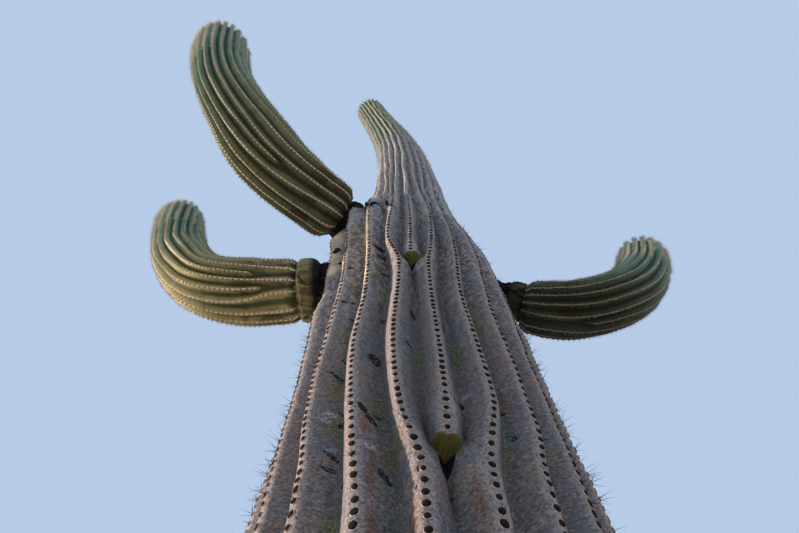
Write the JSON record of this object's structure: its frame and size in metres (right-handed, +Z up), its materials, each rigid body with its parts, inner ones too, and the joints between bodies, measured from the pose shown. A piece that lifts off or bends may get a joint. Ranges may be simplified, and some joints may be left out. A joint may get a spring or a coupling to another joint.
{
  "type": "saguaro cactus",
  "caption": "Mature saguaro cactus rooted in the ground: a tall ribbed leaning trunk with upturned ribbed arms on corky necks.",
  "frame": {"origin": "middle of the flat cut under the trunk, at ground level", "axes": "+Z up, -Y towards the front from which the picture looks, +X to the right of the front view"},
  "size_m": [2.1979, 1.2542, 8.456],
  "materials": {
    "trunk_skin": "matte, weathered grey-brown skin with fine cross wrinkles",
    "arm_skin": "waxy grey-green skin, paler on the rib crests",
    "cork": "matte, dark and fissured",
    "areole": "matte dark wool in a pale rim",
    "spine": "dry, straw-coloured to dark grey-brown"
  },
  "bodies": {
    "root": {"trunk": "trunk_skin", "arm_left_lower_neck": "cork", "arm_left_lower_cuff": "arm_skin", "arm_left_lower_reach": "arm_skin", "arm_left_lower_rise": "arm_skin", "arm_left_upper_neck": "cork", "arm_left_upper_reach": "arm_skin", "arm_left_upper_rise": "arm_skin", "arm_right_neck": "cork", "arm_right_cuff": "arm_skin", "arm_right_reach": "arm_skin", "arm_right_rise": "arm_skin"}
  },
  "joints": []
}
